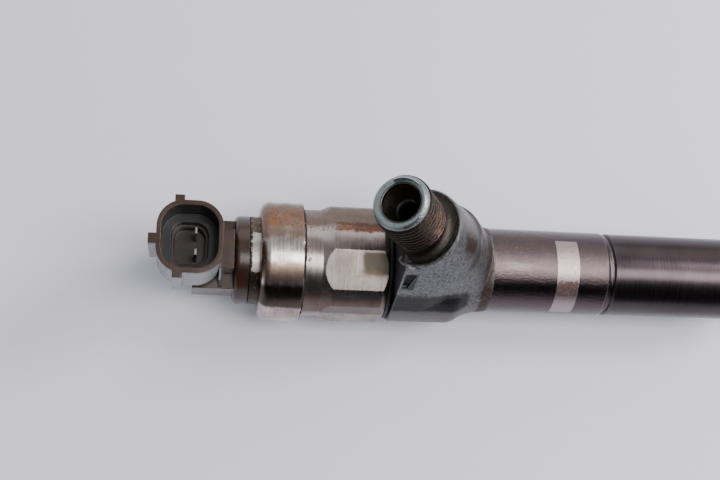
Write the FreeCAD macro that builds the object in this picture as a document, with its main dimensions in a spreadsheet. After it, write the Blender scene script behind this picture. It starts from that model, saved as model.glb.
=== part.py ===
import FreeCAD, Part
import math
import os
import re
import Sketcher

# Common-rail diesel injector with a solenoid valve, in mm. The axis is X and points to the nozzle tip.
# The origin is the middle of the face on which the sealing washer meets the cylinder head.
# The plug opening points along +Z. Lengths ending in _x are places on the axis, all others are sizes.

os.makedirs("parts", exist_ok=True)
doc = FreeCAD.newDocument("fuel_injector")
vec = FreeCAD.Vector

sizes = {
    # solenoid nut: turned collar, neck and hexagon, clamps the solenoid on the body
    "nut_x": -133.0, "nut_length": 30.94,
    "nut_collar": 10.5, "nut_collar_r": 14.76, "nut_collar_round": 2.35, "nut_collar_edge": 0.5,
    "nut_neck_r": 13.23, "nut_neck_end": 15.0, "nut_cone_end": 17.5,
    "nut_hex_r": 14.35, "nut_hex_flat": 27.0, "nut_hex_turn": 16.4, "nut_hex_start": 11.5,
    "nut_end_chamfer": 29.8, "nut_end_r": 13.55,
    "nut_mouth": 3.5, "nut_mouth_r": 11.0, "nut_bore_r": 12.0,
    # solenoid case, magnet core, coil
    "case_x": -135.57, "case_mouth": 6.07, "case_length": 18.07,
    "case_r": 10.9, "case_flange_r": 11.9, "case_bore_r": 10.2,
    "core_x": -131.0, "core_length": 11.0, "core_r": 10.15, "core_slot": 3.5,
    "core_slot_in": 5.2, "core_slot_out": 8.3, "core_hole": 1.5, "core_hole_r": 2.2,
    "bobbin_x": -127.3, "bobbin_length": 7.1, "bobbin_in": 5.25, "bobbin_hub": 5.9,
    "bobbin_out": 8.2, "bobbin_flange": 0.7,
    "winding_gap": 0.05, "winding_out": 8.1,
    # armature, its spring, guide and ball
    "armature_x": -119.9, "armature_disc": 1.6, "armature_r": 8.5, "armature_length": 10.0,
    "armature_stem_r": 2.0, "armature_cup": 0.42, "armature_cup_r": 0.8,
    "armature_hole_r": 1.2, "armature_hole_at": 5.6,
    "aspring_x": -129.4, "aspring_length": 9.45, "aspring_r": 1.55, "aspring_wire": 0.35,
    "aspring_turns": 8.0,
    "ball_x": -109.55, "ball_r": 0.75,
    "guide_x": -116.0, "guide_flange": 1.8, "guide_r": 8.95, "guide_length": 4.5,
    "guide_sleeve_r": 4.5, "guide_bore_r": 2.03, "guide_hole_r": 1.0, "guide_hole_at": 6.6,
    "lshim_x": -117.5, "lshim_length": 1.5, "lshim_in": 8.7, "lshim_out": 10.3,
    "case_ring_x": -116.75, "case_ring_r": 11.15, "case_ring_wire": 0.72,
    "nut_ring_x": -101.255, "nut_ring_r": 12.33, "nut_ring_wire": 0.79,
    # valve body and the ring nut that holds it
    "clamp_x": -113.5, "clamp_length": 4.5, "clamp_r": 8.37, "clamp_in": 5.2,
    "clamp_slot": 1.6, "clamp_slot_deep": 1.3,
    "valve_x": -109.0, "valve_flange": 2.5, "valve_flange_r": 8.3, "valve_length": 18.0,
    "valve_r": 5.95, "valve_seat_r": 0.55, "valve_throttle_r": 0.2, "valve_chamber": 5.0,
    "valve_bore_r": 2.15,
    # injector body, turned shape
    "body_x": -116.0, "body_length": 89.0, "body_spigot_r": 11.95, "body_spigot": 13.9,
    "body_relief_r": 11.5, "head_start": 15.55, "head_edge": 0.5, "head_r": 13.9, "head_end": 30.3,
    "shoulder_x": 33.14, "shoulder_r": 12.89, "shoulder_top": 4.5, "shoulder_foot": 11.5,
    "forging_end": 39.6, "forging_r": 10.85, "barrel_start": 41.3, "barrel_r": 10.6, "barrel_end": 70.4, "barrel_edge": 0.6,
    "barrel_lip": 71.07, "tail_start": 72.1, "tail_r": 8.95, "tail_edge": 0.6,
    "bore_guide": 1.8, "bore_guide_r": 9.0, "bore_clamp": 9.5, "bore_clamp_r": 8.4,
    "bore_valve": 26.0, "bore_valve_r": 6.0, "bore_piston": 74.0, "bore_piston_r": 2.4,
    "bore_spring_r": 4.0,
    # injector body, high-pressure inlet
    "inlet_root": 33.25, "inlet_lean": 28.0, "inlet_turn": 10.0,
    "boss_start": 2.0, "collar_top": 16.4, "collar_step": 17.1, "collar_r": 10.4,
    "collar_fore": 1.0, "collar_side": 0.9, "boss_step": 17.1, "boss_step_r": 11.05, "boss_top": 29.7, "boss_top_r": 9.75, "boss_edge": 30.2,
    "boss_edge_r": 9.4, "bowl_end": 31.5, "bowl_round": 2.6, "relief_r": 6.35, "relief_end": 32.6,
    "thread_start": 33.2, "thread_r": 7.0, "thread_end": 44.75, "rim": 45.65, "rim_r": 6.3,
    "mouth_r": 4.62, "mouth_end": 44.2, "seat_end": 40.35, "inlet_bore_r": 2.4,
    "inlet_bore_end": 22.0, "drill_cone": 21.3, "drill_r": 1.2, "drill_end": 6.0,
    "trim_start": 9.0, "trim_r": 25.0,
    "channel_r": 0.9, "channel_at": 5.6, "channel_length": 59.1,
    "patch_at": 16.1, "patch_turn": 70.63, "patch_low": 13.2, "patch_high": 20.3,
    "patch_floor": 12.9, "patch_top": 2.7, "patch_foot": 1.4,
    # the lump that joins the head to the boss: flat flanks that close in, and a rounded back
    "web_foot": 14.1, "web_draft": 0.165, "web_low": 2.5, "web_low_x": 21.0, "web_waist": 12.0,
    "web_waist_x": 23.2, "web_hip": 18.0, "web_hip_x": 24.0, "web_chest": 21.5, "web_chest_x": 22.3,
    "web_high": 25.0, "web_high_x": 18.2,
    # edge filter in the inlet
    "filter_start": 22.8, "filter_end": 35.0, "filter_r": 2.36, "filter_tip": 1.2,
    "filter_flute_r": 0.35, "filter_stem_r": 1.5,
    # needle drive
    "piston_x": -103.0, "piston_length": 62.0, "piston_r": 2.13, "piston_waist_r": 1.9,
    "sshim_x": -42.0, "sshim_length": 1.2, "sshim_in": 2.35, "sshim_out": 3.92,
    "nspring_x": -40.78, "nspring_length": 12.15, "nspring_r": 2.85, "nspring_wire": 0.5,
    "nspring_turns": 6.5,
    "pin_x": -40.98, "pin_rod": 12.38, "pin_rod_r": 1.6, "pin_flange": 13.58, "pin_flange_r": 3.85,
    "pin_length": 15.96, "pin_stud_r": 1.2,
    # nozzle end
    "plate_x": -27.0, "plate_length": 4.0, "plate_r": 7.1, "plate_hole_r": 1.5,
    "dowel_x": -29.0, "dowel_length": 8.0, "dowel_r": 0.75, "dowel_hole_r": 0.77,
    "dowel_deep": 2.1,
    "nozzle_x": -23.0, "nozzle_head": 14.0, "nozzle_head_r": 7.1, "nozzle_step": 23.0,
    "nozzle_step_r": 3.2, "nozzle_shank": 35.4, "nozzle_shank_r": 3.5, "nozzle_cone": 37.2,
    "nozzle_cone_r": 1.3, "nozzle_length": 38.0, "nozzle_dome": 1.4,
    "nozzle_guide": 10.0, "nozzle_guide_r": 2.02, "gallery": 13.0, "gallery_r": 3.0,
    "gallery_cone": 14.0, "nozzle_bore": 33.5, "nozzle_bore_r": 2.0, "seat_foot": 36.1,
    "sac_r": 0.5, "sac_end": 36.8, "spray_x": 36.45, "spray_r": 0.1, "spray_lean": 15.0,
    "feed_lean": 12.0,
    "needle_x": -25.0, "needle_stud": 2.35, "needle_stud_r": 1.2, "needle_guide": 12.0,
    "needle_guide_r": 2.0, "needle_shaft": 36.13, "needle_shaft_r": 1.6, "needle_length": 38.47,
    "needle_tip_r": 0.25,
    "cap_x": -43.86, "cap_length": 42.36, "cap_r": 10.46, "cap_edge": 0.35, "cap_body": 32.2,
    "cap_cone": 35.2, "cap_shank_r": 8.5, "cap_thread": 19.0, "cap_thread_r": 9.0,
    "cap_seat": 34.88, "cap_bore_r": 7.15, "cap_hole_r": 3.9, "cap_foot": 0.5,
    "washer_x": -1.5, "washer_length": 1.5, "washer_in": 3.9, "washer_out": 7.5,
    # plug housing, measured from the middle of its socket; the disc and plug share the case axis
    "housing_x": -150.0, "disc_start": 10.8, "disc_round": 1.3, "disc_end": 14.41, "disc_r": 10.9,
    "plug_end": 18.98, "plug_r": 10.15,
    "socket_half_x": 7.57, "socket_half_y": 8.35, "socket_round": 6.06, "socket_foot": 9.4,
    "socket_rim": 26.9, "socket_wall": 1.1, "ledge": 17.6, "ledge_half_x": 4.3,
    "ledge_half_y": 5.1, "ledge_round": 3.0, "well_half_x": 3.65, "well_half_y": 4.4,
    "well_round": 2.6, "well_ledge": 15.2, "well_floor": 12.2,
    "block_start": 1.0, "block_half": 8.4, "block_foot": -4.5, "block_top": 6.2,
    "neck_half": 4.7, "neck_top": 14.1, "neck_end": 10.6, "neck_start": 2.0,
    "stand_half_x": 5.2, "stand_half_y": 6.2, "stand_round": 3.0, "stand_foot": -1.5,
    "rib_x": 7.2, "rib_thick": 0.9, "rib_top": 12.6,
    "key_half": 1.11, "key_out": 1.19, "key_back": 2.57, "key_foot": 9.05, "end_key_low": -1.91,
    "end_key_high": 0.45, "end_key_out": 1.8,
    # blades of the plug
    "blade_at": 1.15, "blade_half": 2.5, "blade_wide": 1.4, "blade_thick": 0.45,
    "blade_tip": 21.5, "blade_low": 6.2, "blade_end": 22.6, "blade_gap": 0.04,
}

dims = doc.addObject("Spreadsheet::Sheet", "dims")
for row, (alias, number) in enumerate(sizes.items(), 1):
    dims.set(f"A{row}", alias)
    dims.set(f"B{row}", str(number))
    dims.setAlias(f"B{row}", alias)
doc.recompute()


def bound(text):
    """The expression with every size name pointed at the sheet."""
    return re.sub(r"[a-z]\w*", lambda m: "dims." + m[0] if m[0] in sizes else m[0], str(text))


def number(text):
    """What an expression of size names comes to."""
    return float(dims.evalExpression(bound(text)))


def newBody(label, x=None):
    body = doc.addObject("PartDesign::Body", label)
    body.Label = label
    if x:
        body.setExpression("Placement.Base.x", bound(x))
    return body


def originPlane(body, role):
    return next(f for f in body.Origin.OriginFeatures if f.Role == role)


def newSketch(body, plane, offset=(0, 0, 0), turn=None, name="profile"):
    """A sketch on an origin plane or datum plane, its offset and turn bound to the sheet."""
    support = originPlane(body, plane) if isinstance(plane, str) else plane
    sketch = body.newObject("Sketcher::SketchObject", f"{body.Name}_{name}")
    sketch.AttachmentSupport = [(support, "")]
    sketch.MapMode = "FlatFace"
    for axis, text in zip("xyz", offset):
        if text != 0:
            sketch.setExpression(f"AttachmentOffset.Base.{axis}", bound(text))
    if turn:
        sketch.setExpression("AttachmentOffset.Rotation.Angle", bound(turn))
    return sketch


def turnedPlane(body, role, axis, angle, name, offset=(0, 0, 0)):
    """A datum plane: an origin plane turned about one of its own axes."""
    plane = body.newObject("PartDesign::Plane", f"{body.Name}_{name}")
    plane.AttachmentSupport = [(originPlane(body, role), "")]
    plane.MapMode = "FlatFace"
    plane.AttachmentOffset = FreeCAD.Placement(vec(), FreeCAD.Rotation(axis, number(angle)))
    for letter, text in zip("xyz", offset):
        if text != 0:
            plane.setExpression(f"AttachmentOffset.Base.{letter}", bound(text))
    if number(angle) > 0:
        plane.setExpression("AttachmentOffset.Rotation.Angle", bound(angle))
    doc.recompute()
    return plane


def pin(sketch, geometry, end, x, y):
    """Hold one point of the sketch at two bound distances from the sketch origin."""
    for kind, text, axis in (("DistanceX", x, -2), ("DistanceY", y, -1)):
        size = number(text)
        if abs(size) < 1e-9:
            sketch.addConstraint(Sketcher.Constraint("PointOnObject", geometry, end, axis))
        else:
            index = sketch.addConstraint(Sketcher.Constraint(kind, -1, 1, geometry, end, size))
            sketch.setExpression(f"Constraints[{index}]", bound(text))


def outline(sketch, points, arcs=None):
    """A closed outline through points; arcs maps a segment to (radius, +1 to the left or -1)."""
    arcs = arcs or {}
    places = [vec(number(x), number(y), 0) for x, y in points]
    ends = []
    for i, start in enumerate(places):
        stop = places[(i + 1) % len(places)]
        if i not in arcs:
            sketch.addGeometry(Part.LineSegment(start, stop), False)
            ends.append((1, 2))
            continue
        radius, side = number(arcs[i][0]), arcs[i][1]
        middle, along = (start + stop) * 0.5, stop - start
        reach = math.sqrt(max(radius ** 2 - along.Length ** 2 / 4, 0.0))
        centre = middle + vec(-along.y, along.x, 0).normalize() * reach * side
        first, last = (start, stop) if side > 0 else (stop, start)
        angles = [math.atan2(p.y - centre.y, p.x - centre.x) for p in (first, last)]
        circle = Part.Circle(centre, vec(0, 0, 1), radius)
        sketch.addGeometry(Part.ArcOfCircle(circle, *angles), False)
        ends.append((1, 2) if side > 0 else (2, 1))
    for i in range(len(places)):
        after = (i + 1) % len(places)
        sketch.addConstraint(Sketcher.Constraint("Coincident", i, ends[i][1], after, ends[after][0]))
    for i, (x, y) in enumerate(points):
        pin(sketch, i, ends[i][0], x, y)
    for i, (radius, _) in arcs.items():
        index = sketch.addConstraint(Sketcher.Constraint("Radius", i, number(radius)))
        sketch.setExpression(f"Constraints[{index}]", bound(radius))


def ringOutline(sketch, x, y, radius):
    """A full circle held at a bound place and radius."""
    sketch.addGeometry(Part.Circle(vec(number(x), number(y), 0), vec(0, 0, 1), number(radius)), False)
    pin(sketch, 0, 3, x, y)
    index = sketch.addConstraint(Sketcher.Constraint("Radius", 0, number(radius)))
    sketch.setExpression(f"Constraints[{index}]", bound(radius))


def volumeOf(body):
    doc.recompute()
    return body.Shape.Volume if body.Tip else 0.0


def spin(body, sketch, name="turned", cut=False):
    """Turn the outline about the sketch's own x axis, as material or as a cut."""
    before = volumeOf(body)
    kind = "PartDesign::Groove" if cut else "PartDesign::Revolution"
    feature = body.newObject(kind, f"{body.Name}_{name}")
    feature.Profile = sketch
    feature.ReferenceAxis = (sketch, ["H_Axis"])
    feature.Angle = 360
    after = volumeOf(body)
    if cut and not before - after > 1e-4:
        raise RuntimeError(f"{feature.Name} cuts nothing")
    return feature


def pad(body, sketch, length, name):
    feature = body.newObject("PartDesign::Pad", f"{body.Name}_{name}")
    feature.Profile = sketch
    feature.setExpression("Length", bound(length))
    doc.recompute()
    return feature


def pocket(body, sketch, name, depth=None):
    """Cut against the sketch's normal, to a depth or right through."""
    before = volumeOf(body)
    feature = body.newObject("PartDesign::Pocket", f"{body.Name}_{name}")
    feature.Profile = sketch
    if depth:
        feature.setExpression("Length", bound(depth))
    else:
        feature.Type = "ThroughAll"
    if not before - volumeOf(body) > 1e-4:
        raise RuntimeError(f"{feature.Name} cuts nothing")
    return feature


def around(body, feature, count, name):
    """Repeat a feature evenly about the axis of the injector."""
    pattern = body.newObject("PartDesign::PolarPattern", f"{body.Name}_{name}")
    pattern.Originals = [feature]
    pattern.Axis = (originPlane(body, "X_Axis"), [""])
    pattern.Angle = 360
    pattern.Occurrences = count
    body.Tip = pattern
    doc.recompute()
    return pattern


def turned(label, x, points, arcs=None):
    """A body turned from one closed half outline, given as (along the axis, radius)."""
    body = newBody(label, x)
    sketch = newSketch(body, "XY_Plane")
    outline(sketch, points, arcs)
    spin(body, sketch)
    return body


def tube(label, x, length, inner, outer):
    return turned(label, x, [("0", inner), (length, inner), (length, outer), ("0", outer)])


def block(body, low, high, name):
    """A plain box between two corners, padded up from its lower face."""
    sketch = newSketch(body, "XY_Plane", low, name=name + "_outline")
    wide, deep = f"({high[0]}) - ({low[0]})", f"({high[1]}) - ({low[1]})"
    outline(sketch, [("0", "0"), (wide, "0"), (wide, deep), ("0", deep)])
    return pad(body, sketch, f"({high[2]}) - ({low[2]})", name)


def roundedSketch(body, halfX, halfY, radius, z, name):
    """A rounded rectangle about the socket's middle, at height z."""
    sketch = newSketch(body, "XY_Plane", (f"-({halfX})", f"-({halfY})", z), name=name + "_outline")
    wide, deep, radius = f"2 * ({halfX})", f"2 * ({halfY})", f"({radius})"
    points = [
        (radius, "0"), (f"{wide} - {radius}", "0"), (wide, radius), (wide, f"{deep} - {radius}"),
        (f"{wide} - {radius}", deep), (radius, deep), ("0", f"{deep} - {radius}"), ("0", radius),
    ]
    outline(sketch, points, {i: (radius, 1) for i in (1, 3, 5, 7)})
    return sketch


def solenoidNut():
    points = [
        ("0", "nut_mouth_r"), ("nut_mouth", "nut_mouth_r"), ("nut_mouth", "nut_bore_r"),
        ("nut_length", "nut_bore_r"), ("nut_length", "nut_end_r"), ("nut_end_chamfer", "nut_hex_r"),
        ("nut_cone_end", "nut_hex_r"), ("nut_neck_end", "nut_neck_r"), ("nut_collar", "nut_neck_r"),
        ("nut_collar", "nut_collar_r - nut_collar_edge"),
        ("nut_collar - nut_collar_edge", "nut_collar_r"), ("nut_collar_round", "nut_collar_r"),
        ("0", "nut_collar_r - nut_collar_round"),
    ]
    body = turned("solenoid_nut", "nut_x", points, {9: ("nut_collar_edge", 1), 11: ("nut_collar_round", 1)})
    half, flat = "nut_hex_r", "nut_hex_flat / 2"
    offset = (f"-{half} * cos(nut_hex_turn)", f"-{half} * sin(nut_hex_turn)", "nut_length + 1")
    sketch = newSketch(body, "YZ_Plane", offset, "nut_hex_turn", "flat")
    outline(sketch, [("0", flat), (f"2 * {half}", flat), (f"2 * {half}", f"{half} + 1"), ("0", f"{half} + 1")])
    cut = pocket(body, sketch, "flat_cut", "nut_length + 1 - nut_hex_start")
    around(body, cut, 6, "hexagon")
    return body


def solenoidCase():
    points = [
        ("0", "case_bore_r"), ("case_length", "case_bore_r"), ("case_length", "case_flange_r"),
        ("case_mouth", "case_flange_r"), ("case_mouth", "case_r"), ("0.3", "case_r"),
        ("0", "case_r - 0.3"),
    ]
    return turned("solenoid_case", "case_x", points)


def statorCore():
    points = [
        ("0", "0"), ("core_hole", "0"), ("core_hole", "core_hole_r"), ("core_length", "core_hole_r"),
        ("core_length", "core_slot_in"), ("core_slot", "core_slot_in"), ("core_slot", "core_slot_out"),
        ("core_length", "core_slot_out"), ("core_length", "core_r"), ("0", "core_r"),
    ]
    body = turned("stator_core", "core_x", points)
    for side, sign in (("left", "-"), ("right", "")):
        offset = (f"{sign}blade_half", "blade_low", "core_slot + 0.1")
        sketch = newSketch(body, "YZ_Plane", offset, name=f"{side}_lead")
        ringOutline(sketch, "0", "0", "1.05")
        pocket(body, sketch, f"{side}_lead_hole")
    return body


def coilBobbin():
    points = [
        ("0", "bobbin_in"), ("bobbin_length", "bobbin_in"), ("bobbin_length", "bobbin_out"),
        ("bobbin_length - bobbin_flange", "bobbin_out"), ("bobbin_length - bobbin_flange", "bobbin_hub"),
        ("bobbin_flange", "bobbin_hub"), ("bobbin_flange", "bobbin_out"), ("0", "bobbin_out"),
    ]
    return turned("coil_bobbin", "bobbin_x", points)


def coilWinding():
    length = "bobbin_length - 2 * bobbin_flange - 2 * winding_gap"
    inner = "bobbin_hub + winding_gap"
    points = [
        ("0", inner), (length, inner), (length, "winding_out - 0.3"), (f"{length} - 0.3", "winding_out"),
        ("0.3", "winding_out"), ("0", "winding_out - 0.3"),
    ]
    return turned("coil_winding", "bobbin_x + bobbin_flange + winding_gap", points)


def armature():
    points = [
        ("0", "0"), ("armature_length - armature_cup", "0"),
        ("armature_length - armature_cup", "armature_cup_r"), ("armature_length", "armature_cup_r"),
        ("armature_length", "armature_stem_r - 0.3"), ("armature_length - 0.3", "armature_stem_r"),
        ("armature_disc", "armature_stem_r"), ("armature_disc", "armature_r - 0.2"),
        ("armature_disc - 0.2", "armature_r"), ("0.2", "armature_r"), ("0", "armature_r - 0.2"),
    ]
    body = turned("armature", "armature_x", points)
    sketch = newSketch(body, "YZ_Plane", ("0", "0", "armature_disc"), name="hole")
    ringOutline(sketch, "0", "armature_hole_at", "armature_hole_r")
    around(body, pocket(body, sketch, "hole_cut"), 6, "holes")
    return body


def coilSpring(label, x, length, radius, wire, turns):
    """A round-wire spring along X, its two ends resting on their own last turn."""
    helix = doc.addObject("Part::Helix", f"{label}_path")
    helix.setExpression("Radius", bound(radius))
    helix.setExpression("Height", bound(f"{length} - 2 * {wire}"))
    helix.setExpression("Pitch", bound(f"({length} - 2 * {wire}) / {turns}"))
    section = doc.addObject("Part::Circle", f"{label}_wire")
    section.setExpression("Radius", bound(wire))
    section.setExpression("Placement.Base.x", bound(radius))
    section.Placement.Rotation = FreeCAD.Rotation(vec(1, 0, 0), 90)
    doc.recompute()
    sweep = doc.addObject("Part::Sweep", label)
    sweep.Label = label
    sweep.Sections = [section]
    sweep.Spine = (helix, [f"Edge{i + 1}" for i in range(len(helix.Shape.Edges))])
    sweep.Solid = True
    sweep.Frenet = True
    sweep.Placement.Rotation = FreeCAD.Rotation(vec(0, 1, 0), 90)
    sweep.setExpression("Placement.Base.x", bound(f"{x} + {wire}"))
    doc.recompute()
    return sweep


def roundRing(label, x, radius, wire):
    """A ring of round section about the axis."""
    ring = doc.addObject("Part::Torus", label)
    ring.Label = label
    ring.setExpression("Radius1", bound(radius))
    ring.setExpression("Radius2", bound(wire))
    ring.Placement.Rotation = FreeCAD.Rotation(vec(0, 1, 0), 90)
    ring.setExpression("Placement.Base.x", bound(x))
    return ring


def valveBall():
    ball = doc.addObject("Part::Sphere", "valve_ball")
    ball.Label = "valve_ball"
    ball.setExpression("Radius", bound("ball_r"))
    ball.setExpression("Placement.Base.x", bound("ball_x"))
    return ball


def armatureGuide():
    points = [
        ("0", "guide_bore_r"), ("guide_length", "guide_bore_r"), ("guide_length", "guide_sleeve_r - 0.4"),
        ("guide_length - 0.4", "guide_sleeve_r"), ("guide_flange", "guide_sleeve_r"),
        ("guide_flange", "guide_r"), ("0", "guide_r"),
    ]
    body = turned("armature_guide", "guide_x", points)
    sketch = newSketch(body, "YZ_Plane", ("0", "0", "guide_flange"), name="hole")
    ringOutline(sketch, "0", "guide_hole_at", "guide_hole_r")
    around(body, pocket(body, sketch, "hole_cut"), 3, "holes")
    return body


def valveClampNut():
    points = [
        ("0", "clamp_in"), ("clamp_length", "clamp_in"), ("clamp_length", "clamp_r - 0.4"),
        ("clamp_length - 0.4", "clamp_r"), ("0.4", "clamp_r"), ("0", "clamp_r - 0.4"),
    ]
    body = turned("valve_clamp_nut", "clamp_x", points)
    offset = ("-clamp_slot / 2", "0", "clamp_slot_deep")
    sketch = newSketch(body, "YZ_Plane", offset, name="slot")
    top = "clamp_r + 1"
    points = [("0", "clamp_in - 1"), ("clamp_slot", "clamp_in - 1"), ("clamp_slot", top), ("0", top)]
    outline(sketch, points)
    around(body, pocket(body, sketch, "slot_cut"), 4, "slots")
    return body


def valveBody():
    points = [
        ("0", "valve_seat_r"), ("valve_seat_r - valve_throttle_r", "valve_throttle_r"),
        ("valve_chamber", "valve_throttle_r"), ("valve_chamber", "valve_bore_r"),
        ("valve_length", "valve_bore_r"), ("valve_length", "valve_r - 0.5"),
        ("valve_length - 0.5", "valve_r"), ("valve_flange", "valve_r"), ("valve_flange", "valve_flange_r"),
        ("0", "valve_flange_r"),
    ]
    return turned("valve_body", "valve_x", points)


def inletSketch(body, plane, name):
    """A sketch whose x axis is the inlet's axis, counted from the injector's own axis."""
    return newSketch(body, plane, ("inlet_root", "0", "0"), "90 + inlet_lean", name)


def injectorBody():
    body = newBody("injector_body", "body_x")
    shape = newSketch(body, "XY_Plane", name="turned_shape")
    points = [
        ("0", "0"), ("body_length", "0"), ("body_length", "tail_r - tail_edge"),
        ("body_length - tail_edge", "tail_r"), ("tail_start", "tail_r"),
        ("tail_start", "barrel_r - barrel_edge"), ("barrel_lip", "barrel_r - barrel_edge"),
        ("barrel_end", "barrel_r"),
        ("barrel_start", "barrel_r"), ("forging_end", "forging_r"), ("shoulder_x", "shoulder_r"),
        ("head_end", "head_r"),
        ("head_start + head_edge", "head_r"), ("head_start", "head_r - head_edge"),
        ("head_start", "body_relief_r"), ("body_spigot", "body_relief_r"),
        ("body_spigot", "body_spigot_r"), ("0.75", "body_spigot_r"), ("0", "body_spigot_r - 0.75"),
    ]
    outline(shape, points, {9: ("shoulder_foot", -1), 10: ("shoulder_top", 1)})
    spin(body, shape)

    lean = turnedPlane(body, "XZ_Plane", vec(-1, 0, 0), "inlet_turn", "inlet_plane")
    boss = inletSketch(body, lean, "inlet_shape")
    points = [
        ("boss_start", "0"), ("rim", "0"), ("rim", "rim_r"), ("thread_end", "thread_r"),
        ("thread_start", "thread_r"), ("relief_end", "relief_r"), ("bowl_end", "relief_r"),
        ("boss_edge", "boss_edge_r"), ("boss_top", "boss_top_r"), ("boss_step", "boss_step_r"),
        ("boss_start", "boss_step_r"),
    ]
    outline(boss, points, {6: ("bowl_round", -1)})
    spin(body, boss, "inlet")

    # the collar at the foot of the boss sits off its axis, so that its step fades out on one side
    offset = ("inlet_root + collar_fore * cos(inlet_lean)", "collar_fore * sin(inlet_lean)", "-collar_side")
    collar = newSketch(body, lean, offset, "90 + inlet_lean", "collar_shape")
    points = [("boss_start", "0"), ("collar_step", "0"), ("collar_step", "collar_r - 0.6"),
              ("collar_top", "collar_r"), ("boss_start", "collar_r")]
    outline(collar, points)
    spin(body, collar, "collar")

    joiningWeb(body)

    # the forging's front is faced off flush so the solenoid nut turns clear of the inlet
    trim = newSketch(body, "XY_Plane", ("trim_start", "0", "0"), name="face_trim")
    wide, low = "head_start - trim_start", "body_spigot_r"
    points = [("0", low), ("body_spigot - trim_start", low), ("body_spigot - trim_start", "body_relief_r"),
              (wide, "body_relief_r"), (wide, "trim_r"), ("0", "trim_r")]
    outline(trim, points)
    spin(body, trim, "face_trim_cut", cut=True)

    bores = newSketch(body, "XY_Plane", name="bores")
    points = [
        ("0", "0"), ("body_length", "0"), ("body_length", "bore_spring_r"),
        ("bore_piston", "bore_spring_r"), ("bore_piston", "bore_piston_r"),
        ("bore_valve", "bore_piston_r"), ("bore_valve", "bore_valve_r"), ("bore_clamp", "bore_valve_r"),
        ("bore_clamp", "bore_clamp_r"), ("bore_guide", "bore_clamp_r"), ("bore_guide", "bore_guide_r"),
        ("0", "bore_guide_r"),
    ]
    outline(bores, points)
    spin(body, bores, "bores_cut", cut=True)

    drilling = inletSketch(body, lean, "inlet_bore")
    points = [
        ("drill_end", "0"), ("rim + 0.5", "0"), ("rim + 0.5", "mouth_r"), ("mouth_end", "mouth_r"),
        ("seat_end", "inlet_bore_r"), ("inlet_bore_end", "inlet_bore_r"), ("drill_cone", "drill_r"),
        ("drill_end", "drill_r"),
    ]
    outline(drilling, points)
    spin(body, drilling, "inlet_bore_cut", cut=True)

    y, z = "channel_at * sin(inlet_turn)", "channel_at * cos(inlet_turn)"
    channel = newSketch(body, "YZ_Plane", ("0", "0", "body_length"), name="channel")
    ringOutline(channel, y, z, "channel_r")
    pocket(body, channel, "channel_cut", "channel_length")
    dowelHoles(body, "body_length", "dowel_deep")

    patch = turnedPlane(body, "XY_Plane", vec(1, 0, 0), "patch_turn", "patch_plane")
    sketch = newSketch(body, patch, ("patch_at", "patch_low", "patch_floor + 4"), name="patch")
    deep = "patch_high - patch_low"
    outline(sketch, [("0", "0"), ("patch_foot", "0"), ("patch_top", deep), ("0", deep)])
    pocket(body, sketch, "patch_cut", "4")
    return body


def joiningWeb(body):
    """A ruled loft of D-shaped sections, stacked in the direction the inlet leans up."""
    level = turnedPlane(body, "XY_Plane", vec(-1, 0, 0), "inlet_turn", "web_plane")
    sections = []
    for name in ("low", "waist", "hip", "chest", "high"):
        sketch = newSketch(body, level, ("0", "0", f"web_{name}"), name=f"web_{name}")
        wide, middle = f"web_foot - web_draft * web_{name}", f"web_{name}_x"
        points = [("head_start", f"-({wide})"), (middle, f"-({wide})"), (f"{middle} + ({wide})", "0"),
                  (middle, wide), ("head_start", wide)]
        outline(sketch, points, {1: (f"({wide})", 1), 2: (f"({wide})", 1)})
        sections.append(sketch)
    web = body.newObject("PartDesign::AdditiveLoft", f"{body.Name}_web")
    web.Profile, web.Sections, web.Ruled = sections[0], sections[1:], True
    for sketch in sections:
        sketch.Visibility = False
    doc.recompute()
    return web


def dowelHoles(body, face, depth):
    """The two blind or through holes that the dowels sit in, cut from a face square to the axis."""
    for name, extra in (("first", "120"), ("second", "240")):
        angle = f"(inlet_turn + {extra})"
        offset = (f"channel_at * sin({angle})", f"channel_at * cos({angle})", face)
        sketch = newSketch(body, "YZ_Plane", offset, name=f"{name}_dowel")
        ringOutline(sketch, "0", "0", "dowel_hole_r")
        pocket(body, sketch, f"{name}_dowel_hole", depth)


def inletFilter():
    body = newBody("inlet_edge_filter", "body_x")
    lean = turnedPlane(body, "XZ_Plane", vec(-1, 0, 0), "inlet_turn", "inlet_plane")
    shape = inletSketch(body, lean, "shape")
    points = [
        ("filter_start", "0"), ("filter_end", "0"), ("filter_end", "filter_tip"),
        ("filter_end - 1.2", "filter_r"), ("filter_end - 5.5", "filter_r"),
        ("filter_end - 6", "filter_stem_r"), ("filter_end - 8.5", "filter_stem_r"),
        ("filter_end - 9", "filter_r"), ("filter_start + 1.2", "filter_r"), ("filter_start", "filter_tip"),
    ]
    outline(shape, points)
    spin(body, shape)
    return body


def commandPiston():
    points = [
        ("0", "0"), ("piston_length", "0"), ("piston_length", "piston_r - 0.3"),
        ("piston_length - 0.3", "piston_r"), ("piston_length - 16", "piston_r"),
        ("piston_length - 17", "piston_waist_r"), ("14", "piston_waist_r"), ("13", "piston_r"),
        ("0.3", "piston_r"), ("0", "piston_r - 0.3"),
    ]
    return turned("command_piston", "piston_x", points)


def pressurePin():
    points = [
        ("0", "0"), ("pin_length", "0"), ("pin_length", "pin_stud_r"), ("pin_flange", "pin_stud_r"),
        ("pin_flange", "pin_flange_r"), ("pin_rod", "pin_flange_r"), ("pin_rod", "pin_rod_r"),
        ("0.3", "pin_rod_r"), ("0", "pin_rod_r - 0.3"),
    ]
    return turned("pressure_pin", "pin_x", points)


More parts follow.
